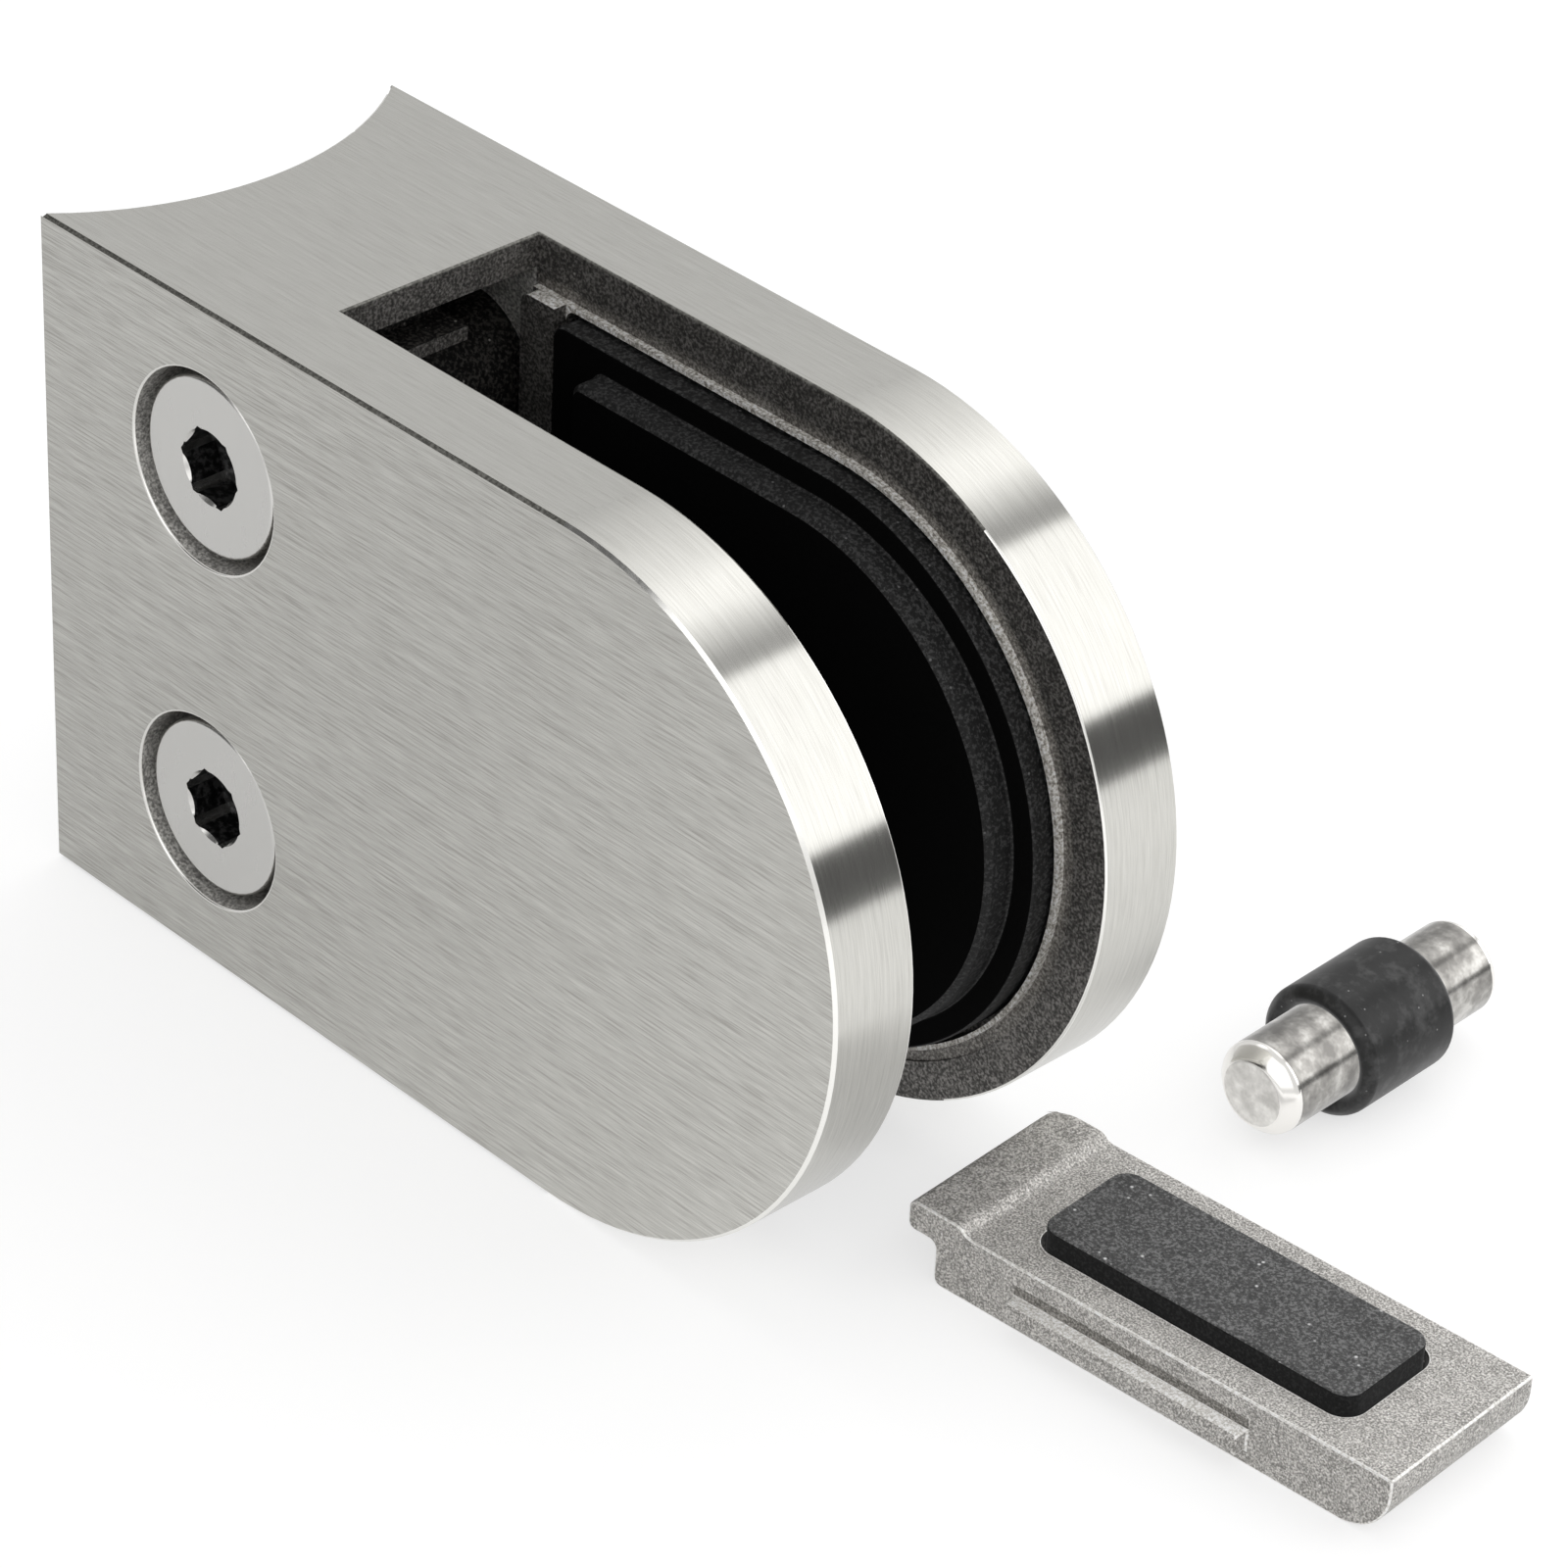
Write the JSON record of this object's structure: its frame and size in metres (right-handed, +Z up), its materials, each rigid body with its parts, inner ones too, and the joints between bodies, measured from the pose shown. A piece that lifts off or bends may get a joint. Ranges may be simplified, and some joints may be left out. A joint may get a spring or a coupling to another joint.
{
  "type": "glass panel clamp",
  "caption": "D-shaped brushed steel clamp that holds a glass panel to a round post, with a screwed cover, rubber gaskets, a safety pin and a hooked safety plate beside it.",
  "frame": {"origin": "the middle of the saddle's lower edge, where the clamp meets the post, level with the clamp's base", "axes": "+X out from the post along the glass, +Y across the glass from the screwed front to the cover, +Z up"},
  "size_m": [0.098, 0.0539, 0.045],
  "materials": {
    "brushed_stainless": "cast, then ground and brushed outside, raw inside",
    "screw_steel": "bright cold-headed",
    "pin_steel": "drawn and turned",
    "cast_stainless": "as cast, blasted",
    "black_rubber": "moulded, matt"
  },
  "bodies": {
    "clamp": {"clamp_body": "brushed_stainless", "front_gasket": "black_rubber", "safety_pin": "pin_steel", "pin_sleeve": "black_rubber", "safety_plate": "cast_stainless", "plate_pad": "black_rubber"},
    "cover": {"clamp_cover": "brushed_stainless", "rear_gasket": "black_rubber"},
    "upper_screw": {"upper_screw": "screw_steel"},
    "lower_screw": {"lower_screw": "screw_steel"}
  },
  "joints": [
    {"name": "cover_slide", "type": "slide", "parent": "clamp", "child": "cover", "axis": [0, 1, 0], "range_m": [0, 0.0035]},
    {"name": "upper_screw_turn", "type": "hinge", "parent": "clamp", "child": "upper_screw", "pos_m": [0.00997, 0, 0.03425], "axis": [0, -1, 0], "range_deg": [0, 1260]},
    {"name": "lower_screw_turn", "type": "hinge", "parent": "clamp", "child": "lower_screw", "pos_m": [0.00997, 0, 0.01075], "axis": [0, -1, 0], "range_deg": [0, 1260]}
  ],
  "couplings": [
    {"joint": "upper_screw_turn", "follows": "cover_slide", "rad_per_m": 6283.2},
    {"joint": "lower_screw_turn", "follows": "cover_slide", "rad_per_m": 6283.2}
  ]
}
